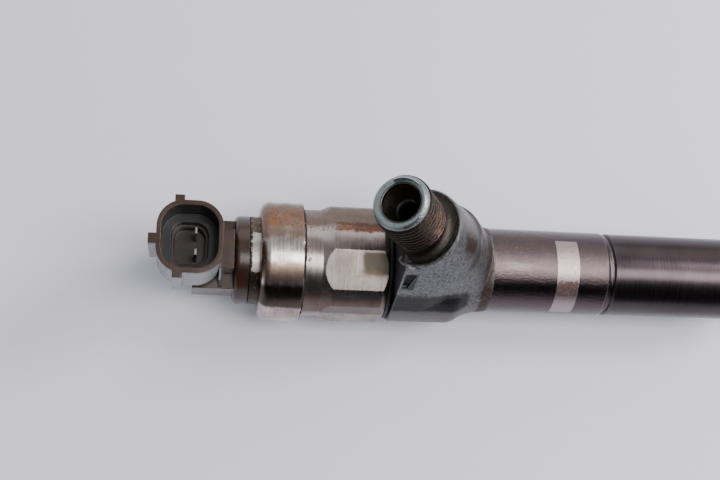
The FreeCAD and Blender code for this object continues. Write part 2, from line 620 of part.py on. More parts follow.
def distancePiece():
    body = tube("distance_piece", "plate_x", "plate_length", "plate_hole_r", "plate_r")
    y, z = "channel_at * sin(inlet_turn)", "channel_at * cos(inlet_turn)"
    channel = newSketch(body, "YZ_Plane", ("0", "0", "plate_length"), name="channel")
    ringOutline(channel, y, z, "channel_r")
    pocket(body, channel, "channel_cut")
    dowelHoles(body, "plate_length", "plate_length")
    return body


def dowelPins():
    """Both dowels as one group of two solids."""
    pins = []
    for name, extra in (("a", "120"), ("b", "240")):
        pin_ = doc.addObject("Part::Cylinder", f"dowel_{name}")
        pin_.setExpression("Radius", bound("dowel_r"))
        pin_.setExpression("Height", bound("dowel_length"))
        pin_.Placement.Rotation = FreeCAD.Rotation(vec(0, 1, 0), 90)
        pin_.setExpression("Placement.Base.x", bound("dowel_x"))
        pin_.setExpression("Placement.Base.y", bound(f"channel_at * sin(inlet_turn + {extra})"))
        pin_.setExpression("Placement.Base.z", bound(f"channel_at * cos(inlet_turn + {extra})"))
        pins.append(pin_)
    group = doc.addObject("Part::Compound", "dowel_pins")
    group.Label = "dowel_pins"
    group.Links = pins
    return group


def nozzleBody():
    points = [
        ("0", "nozzle_guide_r"), ("nozzle_guide", "nozzle_guide_r"), ("nozzle_guide", "gallery_r"),
        ("gallery", "gallery_r"), ("gallery_cone", "nozzle_bore_r"), ("nozzle_bore", "nozzle_bore_r"),
        ("seat_foot", "sac_r"), ("sac_end", "sac_r"), ("sac_end", "0"), ("nozzle_length", "0"),
        ("nozzle_cone", "nozzle_cone_r"), ("nozzle_shank", "nozzle_shank_r"),
        ("nozzle_step", "nozzle_shank_r"), ("nozzle_step", "nozzle_step_r"),
        ("nozzle_head", "nozzle_step_r"), ("nozzle_head", "nozzle_head_r - 0.4"),
        ("nozzle_head - 0.4", "nozzle_head_r"), ("0", "nozzle_head_r"),
    ]
    body = turned("nozzle_body", "nozzle_x", points, {9: ("nozzle_dome", 1)})

    # slanted feed hole from the front face down to the fuel gallery
    tilt = turnedPlane(body, "XZ_Plane", vec(-1, 0, 0), "inlet_turn", "feed_plane")
    feed = newSketch(body, tilt, ("-1", "channel_at + 0.2", "0"), "-feed_lean", "feed")
    outline(feed, [("0", "0"), ("12.8", "0"), ("12.8", "channel_r"), ("0", "channel_r")])
    spin(body, feed, "feed_cut", cut=True)
    dowelHolesFront(body)

    spray = turnedPlane(body, "YZ_Plane", vec(0, 1, 0), "90 - spray_lean", "spray_plane",
                        ("0", "0", "spray_x"))
    sketch = newSketch(body, spray, ("0", "0", "3"), name="spray")
    ringOutline(sketch, "0", "0", "spray_r")
    around(body, pocket(body, sketch, "spray_cut", "3"), 6, "spray_holes")
    return body


def dowelHolesFront(body):
    """Blind dowel holes that open on the nozzle's front face."""
    for name, extra in (("first", "120"), ("second", "240")):
        angle = f"(inlet_turn + {extra})"
        offset = (f"channel_at * sin({angle})", f"channel_at * cos({angle})", "dowel_deep")
        sketch = newSketch(body, "YZ_Plane", offset, name=f"{name}_dowel")
        ringOutline(sketch, "0", "0", "dowel_hole_r")
        pocket(body, sketch, f"{name}_dowel_hole", "dowel_deep")


def nozzleNeedle():
    points = [
        ("0", "0"), ("needle_length", "0"), ("needle_length", "needle_tip_r"),
        ("needle_shaft", "needle_shaft_r"), ("needle_guide + 0.4", "needle_shaft_r"),
        ("needle_guide", "needle_guide_r"), ("needle_stud", "needle_guide_r"),
        ("needle_stud", "needle_stud_r"), ("0", "needle_stud_r"),
    ]
    return turned("nozzle_needle", "needle_x", points)


def nozzleNut():
    points = [
        ("0", "cap_thread_r"), ("cap_thread", "cap_thread_r"), ("cap_thread", "cap_bore_r"),
        ("cap_seat", "cap_bore_r"), ("cap_seat", "cap_hole_r"), ("cap_length", "cap_hole_r"),
        ("cap_length", "cap_shank_r - cap_foot"), ("cap_length - cap_foot", "cap_shank_r"),
        ("cap_cone", "cap_shank_r"), ("cap_body", "cap_r"), ("cap_edge", "cap_r"),
        ("0", "cap_r - cap_edge"),
    ]
    return turned("nozzle_nut", "cap_x", points)


def connectorHousing():
    body = newBody("connector_housing", "housing_x")
    disc = newSketch(body, "XY_Plane", name="disc")
    points = [
        ("disc_start", "0"), ("plug_end", "0"), ("plug_end", "plug_r"), ("disc_end", "plug_r"),
        ("disc_end", "disc_r"), ("disc_start + disc_round", "disc_r"),
        ("disc_start", "disc_r - disc_round"),
    ]
    outline(disc, points, {5: ("disc_round", 1)})
    spin(body, disc, "disc_turned")
    join = "disc_start + 0.5"
    block(body, ("block_start", "-block_half", "block_foot"), (join, "block_half", "block_top"), "block")
    block(body, ("neck_start", "-neck_half", "block_foot + 1"), ("neck_end", "neck_half", "neck_top"),
          "neck")
    block(body, ("neck_end - 0.5", "-neck_half + 0.6", "0"), (join, "neck_half - 0.6", "disc_r - 2"),
          "throat")
    stand = roundedSketch(body, "stand_half_x", "stand_half_y", "stand_round", "stand_foot", "stand")
    pad(body, stand, "socket_foot + 0.5 - (stand_foot)", "stand")
    outer = ("socket_half_x", "socket_half_y", "socket_round")
    pad(body, roundedSketch(body, *outer, "socket_foot", "socket"), "socket_rim - socket_foot", "socket")
    for sign, name in (("-", "near"), ("", "far")):
        rib = newSketch(body, "YZ_Plane", (f"{sign}neck_half" if sign else "neck_half", "block_top - 0.4",
                                           "rib_x"), name=f"{name}_rib_outline")
        reach, rise = "block_half - neck_half - 0.2", "rib_top - block_top"
        if sign:
            rib.setExpression("AttachmentOffset.Base.x", bound("-block_half + 0.2"))
            outline(rib, [("0", "0"), (f"{reach} + 0.3", "0"), (f"{reach} + 0.3", rise), (reach, rise)])
        else:
            rib.setExpression("AttachmentOffset.Base.x", bound("neck_half - 0.3"))
            outline(rib, [("0", "0"), (f"{reach} + 0.3", "0"), ("0.3", rise), ("0", rise)])
        pad(body, rib, "rib_thick", f"{name}_rib")
    top = "socket_rim"
    inner = "socket_half_y - socket_wall"
    back = "-key_back - key_half"
    front = "-key_back + key_half"
    block(body, (back, inner, "key_foot"), (front, "socket_half_y + key_out", top), "far_key")
    block(body, (back, "-socket_half_y - key_out", "key_foot"), (front, f"-({inner})", top), "near_key")
    block(body, ("-socket_half_x - end_key_out", "end_key_low", "key_foot"),
          ("-socket_half_x + socket_wall", "end_key_high", top), "end_key")

    sketch = roundedSketch(body, "socket_half_x - socket_wall", inner, "socket_round - socket_wall", top,
                           "opening")
    pocket(body, sketch, "opening_cut", "socket_rim - ledge")
    sketch = roundedSketch(body, "ledge_half_x", "ledge_half_y", "ledge_round", top, "ledge")
    pocket(body, sketch, "ledge_cut", "socket_rim - well_ledge")
    sketch = roundedSketch(body, "well_half_x", "well_half_y", "well_round", top, "well")
    pocket(body, sketch, "well_cut", "socket_rim - well_floor")
    return body


def terminalBlades(housing):
    """Both bent blades as one group of two solids, and the housing with room for them cut out."""
    blades, rooms = [], []
    for name, sign in (("near", "-"), ("far", "")):
        for kind, gap, into in (("blade", "0", blades), ("room", "blade_gap", rooms)):
            legs = []
            sizes_ = {
                "upright": ("blade_thick", "blade_at", "blade_low", "blade_tip"),
                "level": ("blade_end - blade_at", "blade_at", "blade_low", "blade_low + blade_thick"),
            }
            for leg, (length, start, low, high) in sizes_.items():
                box = doc.addObject("Part::Box", f"{name}_{kind}_{leg}")
                box.setExpression("Length", bound(f"{length} + 2 * {gap}"))
                box.setExpression("Width", bound(f"blade_wide + 2 * {gap}"))
                box.setExpression("Height", bound(f"{high} - {low} + 2 * {gap}"))
                box.setExpression("Placement.Base.x", bound(f"housing_x + {start} - {gap}"))
                box.setExpression("Placement.Base.y", bound(f"{sign}blade_half - blade_wide / 2 - {gap}"))
                box.setExpression("Placement.Base.z", bound(f"{low} - {gap}"))
                legs.append(box)
            joined = doc.addObject("Part::MultiFuse", f"{name}_{kind}")
            joined.Shapes = legs
            joined.Refine = True
            into.append(joined)
    group = doc.addObject("Part::Compound", "terminal_blades")
    group.Label = "terminal_blades"
    group.Links = blades
    room = doc.addObject("Part::MultiFuse", "blade_rooms")
    room.Shapes = rooms
    housing.Label = "housing_moulding"
    moulded = doc.addObject("Part::Cut", "connector_housing_with_rooms")
    moulded.Base = housing
    moulded.Tool = room
    moulded.Label = "connector_housing"
    return group, moulded


def buildAll():
    blades, moulded = terminalBlades(connectorHousing())
    return [
        moulded, blades, solenoidNut(), solenoidCase(), statorCore(), coilBobbin(), coilWinding(),
        armature(),
        coilSpring("armature_spring", "aspring_x", "aspring_length", "aspring_r", "aspring_wire",
                   "aspring_turns"),
        valveBall(), armatureGuide(),
        tube("lift_shim", "lshim_x", "lshim_length", "lshim_in", "lshim_out"),
        roundRing("case_o_ring", "case_ring_x", "case_ring_r", "case_ring_wire"),
        roundRing("nut_o_ring", "nut_ring_x", "nut_ring_r", "nut_ring_wire"),
        valveClampNut(), valveBody(), injectorBody(), inletFilter(), commandPiston(),
        tube("spring_shim", "sshim_x", "sshim_length", "sshim_in", "sshim_out"),
        coilSpring("nozzle_spring", "nspring_x", "nspring_length", "nspring_r", "nspring_wire",
                   "nspring_turns"),
        pressurePin(), distancePiece(), dowelPins(), nozzleBody(), nozzleNeedle(), nozzleNut(),
        tube("sealing_washer", "washer_x", "washer_length", "washer_in", "washer_out"),
    ]


nodes = buildAll()
doc.recompute()
for thing in doc.Objects:
    if any(state in ("Invalid", "Error") for state in thing.State):
        raise RuntimeError(f"{thing.Label} did not recompute: {thing.State}")
for node in nodes:
    shape = node.Shape
    if shape.isNull() or not shape.isValid() or not shape.Solids:
        raise RuntimeError(f"{node.Label} has no valid solid")
    shape.exportStep(f"parts/{node.Label}.step")
    box = shape.BoundBox
    print(f"{node.Label}: {len(shape.Solids)} solid, {shape.Volume:.1f} mm3, "
          f"x {box.XMin:.2f}..{box.XMax:.2f} y {box.YMin:.2f}..{box.YMax:.2f} "
          f"z {box.ZMin:.2f}..{box.ZMax:.2f}")
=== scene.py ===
import math

import bmesh
import bpy
from mathutils import Matrix, Vector


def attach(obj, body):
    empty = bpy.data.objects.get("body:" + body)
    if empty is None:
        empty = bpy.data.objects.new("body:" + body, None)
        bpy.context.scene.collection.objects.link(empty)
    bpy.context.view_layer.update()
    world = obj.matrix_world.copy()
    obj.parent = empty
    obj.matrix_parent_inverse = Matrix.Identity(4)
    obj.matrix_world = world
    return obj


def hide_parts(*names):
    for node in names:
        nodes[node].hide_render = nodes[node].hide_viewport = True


# Common-rail diesel injector on a pale table. The axis is X, the nozzle tip points to +X and the
# origin is the face of the sealing washer. Lengths in the dictionaries are in mm, angles in degrees;
# "turn" counts round the axis from +Z toward -Y.

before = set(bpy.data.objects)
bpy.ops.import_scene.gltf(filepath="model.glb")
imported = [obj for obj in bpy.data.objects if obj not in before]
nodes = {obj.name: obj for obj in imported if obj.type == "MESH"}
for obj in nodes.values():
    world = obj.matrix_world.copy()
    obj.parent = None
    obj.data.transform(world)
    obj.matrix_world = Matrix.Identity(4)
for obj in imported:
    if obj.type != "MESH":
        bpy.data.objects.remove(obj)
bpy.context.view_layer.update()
mm = 0.001
metre = 1000  # in mm: metre / size is the scale that gives a pattern that size
nutFace = -133.0  # x of the solenoid nut's plug-side face, where a stain's "along" starts


def linear(hexColour):
    parts = [int(hexColour[i:i + 2], 16) / 255 for i in (1, 3, 5)]
    return tuple(c / 12.92 if c <= 0.04045 else ((c + 0.055) / 1.055) ** 2.4 for c in parts) + (1.0,)


def feed(tree, node, inputs):
    # an input is a plain value, a socket, or a node, whose first live output is then used
    for key, value in inputs.items():
        if isinstance(value, bpy.types.Node):
            value = next(socket for socket in value.outputs if socket.enabled)
        if isinstance(value, bpy.types.NodeSocket):
            tree.links.new(value, node.inputs[key])
        else:
            node.inputs[key].default_value = value


def addNode(tree, kind, inputs=None, **settings):
    # inputs go by name or number; a Mix node's are 0 for the share, 2 and 3 for values, 6 and 7 for colours
    node = tree.nodes.new(kind)
    for key, value in settings.items():
        setattr(node, key, value)
    feed(tree, node, inputs or {})
    return node


def newMaterial(name):
    material = bpy.data.materials.new(name)
    material.use_nodes = True
    tree = material.node_tree
    tree.nodes.clear()
    shader = addNode(tree, "ShaderNodeBsdfPrincipled")
    addNode(tree, "ShaderNodeOutputMaterial", {"Surface": shader})
    coords = addNode(tree, "ShaderNodeTexCoord").outputs["Object"]
    return material, tree, shader, coords


# the inlet stands on the axis at its root, leans toward the plug and is turned toward +Y
inlet = {"root": -82.75, "lean": 28.0, "turn": 10.0}
lean, turnBack = math.radians(inlet["lean"]), math.radians(inlet["turn"])
inletAxis = Vector((
    -math.sin(lean), math.cos(lean) * math.sin(turnBack), math.cos(lean) * math.cos(turnBack)))


def findPlaces(tree, coords):
    # where a point is, in mm and degrees: along the axis, sideways, above it and round it, up the
    # inlet's axis and out from it; "facing" is 1 on a wall that looks toward +Y and -1 toward -Y
    normal = addNode(tree, "ShaderNodeNewGeometry").outputs["Normal"]
    facing = addNode(tree, "ShaderNodeSeparateXYZ", {0: normal})
    split = addNode(tree, "ShaderNodeSeparateXYZ", {0: coords})
    near = addNode(tree, "ShaderNodeMath", {0: split.outputs["Y"], 1: -1.0}, operation="MULTIPLY")
    turn = addNode(tree, "ShaderNodeMath", {0: near, 1: split.outputs["Z"]}, operation="ARCTAN2")
    root = (inlet["root"] * mm, 0, 0)
    fromRoot = addNode(tree, "ShaderNodeVectorMath", {0: coords, 1: root}, operation="SUBTRACT")
    rise = addNode(tree, "ShaderNodeVectorMath", {0: fromRoot, 1: inletAxis}, operation="DOT_PRODUCT")
    foot = addNode(tree, "ShaderNodeVectorMath", {0: inletAxis, "Scale": rise}, operation="SCALE")
    out = addNode(tree, "ShaderNodeVectorMath", {0: fromRoot, 1: foot}, operation="DISTANCE")
    measures = {
        "along": (split.outputs["X"], metre, -nutFace), "side": (split.outputs["Y"], metre, 0),
        "height": (split.outputs["Z"], metre, 0), "turn": (turn, math.degrees(1), 0),
        "rise": (rise, metre, 0), "out": (out, metre, 0), "facing": (facing.outputs["Y"], 1, 0),
    }
    return {key: addNode(tree, "ShaderNodeMath", dict(enumerate(measure)), operation="MULTIPLY_ADD")
            for key, measure in measures.items()}


def stainOrPaintedLightMask(tree, coords, places, stainOrPaintedLight):
    # a stain or a patch of painted light or shade, kept between limits (low, high, fade) and broken into
    # blotches: "grain" is their size, "cover" how much they fill, "edge" how soft they end, "strength" how
    # well they hide and "seed" which ones come
    mask = 1
    for key in places:
        if key in stainOrPaintedLight:
            low, high, fade = stainOrPaintedLight[key]
            up = addNode(tree, "ShaderNodeMapRange", {
                "Value": places[key], "From Min": low - fade, "From Max": low + fade},
                interpolation_type="SMOOTHSTEP")
            down = addNode(tree, "ShaderNodeMapRange", {
                "Value": places[key], "From Min": high - fade, "From Max": high + fade,
                "To Min": 1, "To Max": 0}, interpolation_type="SMOOTHSTEP")
            both = addNode(tree, "ShaderNodeMath", {0: up, 1: down}, operation="MULTIPLY")
            mask = addNode(tree, "ShaderNodeMath", {0: both, 1: mask}, operation="MULTIPLY")
    blotches = addNode(tree, "ShaderNodeTexNoise", {
        "Vector": coords, "W": stainOrPaintedLight.get("seed", 0), "Scale": metre / stainOrPaintedLight["grain"], "Detail": 5,
        "Roughness": 0.65}, noise_dimensions="4D")
    level = addNode(tree, "ShaderNodeMath", {0: mask, 1: stainOrPaintedLight["cover"], 2: blotches},
                    operation="MULTIPLY_ADD")
    edge = stainOrPaintedLight.get("edge", 0.06)
    return addNode(tree, "ShaderNodeMapRange", {
        "Value": level, "From Min": 1 - edge, "From Max": 1 + edge, "To Max": stainOrPaintedLight.get("strength", 1)},
        interpolation_type="SMOOTHSTEP")


def addStainsAndPaintedLight(tree, coords, look, colour, rough, metal):
    # each stain or patch of painted light or shade in turn lays its colour, roughness and metal over what is
    # there
    places = findPlaces(tree, coords)
    for stainOrPaintedLight in look["stainsAndPaintedLight"]:
        mask = stainOrPaintedLightMask(tree, coords, places, stainOrPaintedLight)
        colour = addNode(tree, "ShaderNodeMix", {
            0: mask, 6: colour, 7: linear(stainOrPaintedLight["colour"])}, data_type="RGBA")
        rough = addNode(tree, "ShaderNodeMix", {0: mask, 2: rough, 3: stainOrPaintedLight["rough"]}, data_type="FLOAT")
        if stainOrPaintedLight["metal"] != look["metal"]:
            metal = addNode(tree, "ShaderNodeMix", {0: mask, 2: metal, 3: stainOrPaintedLight["metal"]}, data_type="FLOAT")
    return colour, rough, metal


# what the metals share: how far tool marks show in the tone, the noise that counts as dark and light or
# as smooth and rough, and the cosines of an edge's turn where rubbing begins and is complete
wear = {"markShare": 0.35, "tone": (0.5, 0.85), "sheen": (0.3, 0.7), "edge": (0.99, 0.86)}


def stainedMetal(name, look):
    # worn metal: a base of two tones with tool marks, then the stains and painted light and shade, then bright
    # rubbed edges
    material, tree, shader, coords = newMaterial(name)
    tone = addNode(tree, "ShaderNodeTexNoise", {
        "Vector": coords, "Scale": metre / look["blotch"], "Detail": 4})
    drawn = addNode(tree, "ShaderNodeMapping", {"Vector": coords, "Scale": look["stretch"]})
    marks = addNode(tree, "ShaderNodeTexNoise", {
        "Vector": drawn, "Scale": metre / look["marks"], "Detail": 2, "Roughness": 0.6})
    mixed = addNode(tree, "ShaderNodeMath", {0: marks, 1: wear["markShare"], 2: tone},
                    operation="MULTIPLY_ADD")
    share = addNode(tree, "ShaderNodeMapRange", {
        "Value": mixed, "From Min": wear["tone"][0], "From Max": wear["tone"][1]})
    colour = addNode(tree, "ShaderNodeMix", {
        0: share, 6: linear(look["dark"]), 7: linear(look["light"])}, data_type="RGBA")
    rough = addNode(tree, "ShaderNodeMapRange", {
        "Value": marks, "From Min": wear["sheen"][0], "From Max": wear["sheen"][1],
        "To Min": look["rough"][0], "To Max": look["rough"][1]})
    metal = look["metal"]
    if "stainsAndPaintedLight" in look:
        colour, rough, metal = addStainsAndPaintedLight(tree, coords, look, colour, rough, metal)
    rounded = addNode(tree, "ShaderNodeBevel", {"Radius": look["round"] * mm}, samples=4)
    if "worn" in look:
        flat = addNode(tree, "ShaderNodeNewGeometry").outputs["Normal"]
        same = addNode(tree, "ShaderNodeVectorMath", {0: rounded, 1: flat}, operation="DOT_PRODUCT")
        onEdge = addNode(tree, "ShaderNodeMapRange", {
            "Value": same, "From Min": wear["edge"][0], "From Max": wear["edge"][1]})
        rubbed = addNode(tree, "ShaderNodeMath", {0: onEdge, 1: tone}, operation="MULTIPLY")
        colour = addNode(tree, "ShaderNodeMix", {
            0: rubbed, 6: colour, 7: linear(look["worn"])}, data_type="RGBA")
    grain = addNode(tree, "ShaderNodeTexNoise", {
        "Vector": coords, "Scale": metre / look["grain"], "Detail": 4, "Roughness": 0.6})
    grainHeight = addNode(tree, "ShaderNodeMath", {0: grain, 1: look["grainHeight"]}, operation="MULTIPLY")
    height = addNode(tree, "ShaderNodeMath", {0: marks, 1: look["markHeight"], 2: grainHeight},
                     operation="MULTIPLY_ADD")
    bump = addNode(tree, "ShaderNodeBump", {
        "Height": height, "Strength": 1, "Distance": mm, "Normal": rounded})
    feed(tree, shader, {"Base Color": colour, "Roughness": rough, "Metallic": metal, "Normal": bump})
    return material


def platedNutSteel():
    # turned and milled steel with worn zinc: soft sheen, tool marks round the axis, rust in the upper zone,
    # and painted shade darkening the ring's lower side
    look = {
        "dark": "#94867E", "light": "#D2C7C0", "blotch": 4.0, "marks": 0.35, "stretch": (1, 0.04, 0.04),
        "rough": (0.2, 0.32), "metal": 1.0, "grain": 0.5, "grainHeight": 0.008, "markHeight": 0.006,
        "round": 0.3, "worn": "#DAD5D2",
        "stainsAndPaintedLight": [
            {"along": (10.4, 31, 0.3), "grain": 5.0, "cover": 0.9, "edge": 0.4,
             "colour": "#7C716A", "rough": 0.3, "metal": 1.0, "strength": 0.6, "seed": 41},
            {"along": (-1, 10.4, 0.2), "turn": (-64, -11, 7), "grain": 2.2, "cover": 0.75, "edge": 0.25,
             "colour": "#67523F", "rough": 0.42, "metal": 0.8, "strength": 0.85},
            {"along": (-1, 10.4, 0.2), "turn": (-58, -20, 7), "grain": 0.9, "cover": 0.5, "edge": 0.09,
             "colour": "#85512F", "rough": 0.6, "metal": 0.4, "strength": 0.75, "seed": 3},
            {"along": (-1, 31, 0.5), "turn": (-58, -20, 7), "grain": 0.45, "cover": 0.42, "edge": 0.06,
             "colour": "#33231A", "rough": 0.7, "metal": 0.2, "strength": 0.9, "seed": 9},
            # painted shade: the ring's lower side turns browner, then near-black
            {"along": (-1, 10.4, 0.2), "turn": (9, 32, 6), "grain": 2.0, "cover": 0.7, "edge": 0.25,
             "colour": "#836A56", "rough": 0.34, "metal": 0.95, "strength": 0.8, "seed": 4},
            {"along": (-1, 10.4, 0.2), "turn": (33, 60, 6), "grain": 5.0, "cover": 0.95, "edge": 0.3,
             "colour": "#3C3228", "rough": 0.28, "metal": 1.0, "strength": 0.9, "seed": 14},
            {"along": (10.4, 31, 0.3), "turn": (-80, -30, 8), "grain": 3.0, "cover": 0.72, "edge": 0.28,
             "colour": "#6B5A4B", "rough": 0.42, "metal": 0.85, "strength": 0.85, "seed": 21},
            {"along": (17, 31, 2), "turn": (-40, -22, 4), "grain": 1.2, "cover": 0.6, "edge": 0.12,
             "colour": "#5E3A22", "rough": 0.65, "metal": 0.3, "strength": 0.9, "seed": 5},
            {"along": (17, 31, 2), "turn": (-34, -21, 3), "grain": 0.8, "cover": 0.48, "edge": 0.07,
             "colour": "#96501F", "rough": 0.75, "metal": 0.0, "strength": 0.9, "seed": 7},
            {"along": (24.4, 32, 1.5), "turn": (-3, 21, 5), "grain": 5.0, "cover": 0.85, "edge": 0.3,
             "colour": "#38342A", "rough": 0.36, "metal": 1.0, "strength": 0.88, "seed": 1},
            {"along": (22, 31, 2), "turn": (14, 26, 4), "grain": 1.4, "cover": 0.5, "edge": 0.2,
             "colour": "#6A5644", "rough": 0.4, "metal": 0.9, "strength": 0.7, "seed": 12},
            {"along": (10.4, 31, 0.3), "turn": (43, 76, 5), "grain": 4.0, "cover": 0.85, "edge": 0.3,
             "colour": "#57463A", "rough": 0.36, "metal": 0.95, "strength": 0.75, "seed": 8},
            {"along": (1.5, 9.5, 1), "turn": (54, 80, 5), "grain": 0.4, "cover": 0.37, "edge": 0.05,
             "colour": "#20130D", "rough": 0.8, "metal": 0.2, "seed": 11},
            {"along": (10.1, 11.0, 0.25), "grain": 0.9, "cover": 0.62, "edge": 0.06,
             "colour": "#160B08", "rough": 0.9, "metal": 0.0, "seed": 2},
            {"along": (10.2, 12.5, 0.6), "turn": (-30, 30, 8), "grain": 0.7, "cover": 0.4, "edge": 0.05,
             "colour": "#5A1A12", "rough": 0.7, "metal": 0.0, "seed": 15},
        ],
    }
    return stainedMetal("worn plated nut steel", look)


def forgedSteel(name, rounding):
    # one forging: grainy phosphated head and inlet, black oxide on the turned barrel, oily brown thread;
    # painted shade and a lighter painted rim on the head's lower side, painted shade in the id pocket and
    # inside the inlet, painted reflections on the barrel's upper side, the boss and the thread's +X side,
    # and painted highlights across the barrel and round the bore's edge
    look = {
        "dark": "#454546", "light": "#7A7A7B", "blotch": 0.6, "marks": 0.5, "stretch": (1, 0.3, 0.3),
        "rough": (0.36, 0.5), "metal": 0.9, "grain": 0.45, "grainHeight": 0.13, "markHeight": 0.01,
        "round": rounding, "worn": "#8E908F",
        "stainsAndPaintedLight": [
            # painted shade: a dark band on the head's lower side, then a lighter painted rim below it
            {"along": (31, 52, 2), "turn": (34, 67, 9), "grain": 1.0, "cover": 0.9, "edge": 0.3,
             "colour": "#1F1B18", "rough": 0.5, "metal": 0.8, "strength": 0.95, "seed": 13},
            {"along": (31, 60, 1), "turn": (62, 110, 5), "grain": 3.0, "cover": 0.9, "edge": 0.25,
             "colour": "#666360", "rough": 0.45, "metal": 0.9, "strength": 0.7, "seed": 33},
            {"along": (57.9, 90, 0.4), "grain": 4.0, "cover": 1.2, "edge": 0.02,
             "colour": "#564B4C", "rough": 0.17, "metal": 1.0},
            # painted reflection: the barrel's upper side browner
            {"along": (58.4, 73, 1.5), "turn": (-62, -14, 8), "grain": 3.0, "cover": 0.5, "edge": 0.25,
             "colour": "#5F5048", "rough": 0.36, "metal": 0.9, "strength": 0.7, "seed": 5},
            {"along": (54.6, 58.1, 1.2), "turn": (-100, 100, 10), "grain": 1.3, "cover": 0.66, "edge": 0.2,
             "colour": "#34190F", "rough": 0.55, "metal": 0.4, "strength": 0.92, "seed": 8},
            # a pale speckled patch across the barrel's highlight band: scuffing and a painted highlight
            {"along": (58, 70, 6), "turn": (-4, 12, 6), "grain": 0.3, "cover": 0.46, "edge": 0.2,
             "colour": "#8E8582", "rough": 0.24, "metal": 1.0, "strength": 0.5, "seed": 9},
            {"along": (74.1, 79.75, 0.12), "turn": (-38, 82, 1.5), "grain": 1.5, "cover": 1.2, "edge": 0.04,
             "colour": "#A09290", "rough": 0.3, "metal": 1.0},
            {"along": (74.3, 79.7, 0.4), "turn": (-38, 20, 4), "grain": 0.7, "cover": 0.4, "edge": 0.09,
             "colour": "#86624E", "rough": 0.4, "metal": 0.8, "strength": 0.7, "seed": 16},
            {"along": (74.3, 79.7, 0.4), "turn": (20, 46, 5), "grain": 0.8, "cover": 0.62, "edge": 0.12,
             "colour": "#4A2A20", "rough": 0.5, "metal": 0.5, "strength": 0.85, "seed": 6},
            # painted shade in the recessed id pocket
            {"along": (33.0, 36.1, 0.15), "side": (-9.0, -6.0, 0.3), "height": (16.8, 24.2, 0.3), "grain": 1.5,
             "cover": 0.9, "edge": 0.15, "colour": "#20211F", "rough": 0.5, "metal": 0.6, "seed": 31},
            # painted reflection: the boss's +X side brown and glossy
            {"rise": (17.5, 30.5, 0.4), "out": (8.8, 10.9, 0.3), "side": (-2, 30, 4), "along": (46, 70, 3),
             "grain": 3.0, "cover": 0.85, "edge": 0.2, "colour": "#4A372E", "rough": 0.22, "metal": 1.0,
             "strength": 0.9, "seed": 24},
            # painted reflection: a brown ring at the boss's foot on the +X side
            {"rise": (16, 18.6, 0.4), "grain": 3.0, "along": (46, 70, 3), "cover": 0.6, "edge": 0.2,
             "colour": "#3A322D", "rough": 0.4, "metal": 0.9, "strength": 0.7, "seed": 25},
            {"rise": (30.1, 33.1, 0.15), "out": (0, 9.6, 0.2), "grain": 3.0, "cover": 1.2, "edge": 0.05,
             "colour": "#35312C", "rough": 0.33, "metal": 1.0},
            {"rise": (33.0, 60, 0.2), "out": (0, 9, 0.3), "grain": 2.0, "cover": 1.2, "edge": 0.05,
             "colour": "#3A302B", "rough": 0.24, "metal": 1.0},
            # painted highlight: the thread lighter brown on its +X side
            {"rise": (33, 46, 0.5), "out": (5, 8, 0.3), "side": (-1, 20, 3), "along": (36, 60, 3), "grain": 1.6,
             "cover": 0.6, "edge": 0.2, "colour": "#624D45", "rough": 0.26, "metal": 1.0, "strength": 0.7,
             "seed": 17},
            {"rise": (45.0, 60, 0.12), "out": (0, 9, 0.3), "grain": 1.5, "cover": 1.2, "edge": 0.05,
             "colour": "#8D9897", "rough": 0.3, "metal": 1.0},
            {"rise": (45.0, 60, 0.12), "out": (0, 9, 0.3), "grain": 1.2, "cover": 0.38, "edge": 0.1,
             "colour": "#4C3A30", "rough": 0.4, "metal": 0.8, "strength": 0.8, "seed": 27},
            # painted shade inside the inlet's seat cone
            {"rise": (30, 60, 0.5), "out": (-1, 5.0, 0.08), "grain": 1.2, "cover": 1.2, "edge": 0.05,
             "colour": "#2A231E", "rough": 0.3, "metal": 0.8, "seed": 19},
            # a pale ring at the bore's edge: bare worn steel and a painted highlight
            {"rise": (39.6, 40.8, 0.1), "out": (2.2, 2.75, 0.06), "grain": 1.2, "cover": 0.75, "edge": 0.1,
             "colour": "#A3AFA4", "rough": 0.3, "metal": 1.0, "seed": 29},
            # painted shade down the bore
            {"rise": (-9, 39.6, 0.2), "out": (-1, 2.6, 0.1), "grain": 3.0, "cover": 1.2, "edge": 0.1,
             "colour": "#181512", "rough": 0.5, "metal": 0.7},
        ],
    }
    return stainedMetal(name, look)


def oxideNutSteel():
    # turned steel with black oxide: deep brown-black, glossy, fine turning marks, the upper side painted
    # browner as a painted reflection
    look = {
        "dark": "#3D3638", "light": "#494144", "blotch": 9.0, "marks": 0.4, "stretch": (1, 0.04, 0.04),
        "rough": (0.26, 0.31), "metal": 1.0, "grain": 0.4, "grainHeight": 0.002, "markHeight": 0.0015,
        "round": 0.25, "worn": "#9A9494",
        "stainsAndPaintedLight": [
            # painted reflection: the nozzle nut's upper side browner
            {"along": (90, 131, 2), "turn": (-62, -16, 8), "grain": 7.0, "cover": 0.5, "edge": 0.3,
             "colour": "#4A3B34", "rough": 0.34, "metal": 1.0, "strength": 0.6, "seed": 2},
        ],
    }
    return stainedMetal("black oxide nut steel", look)


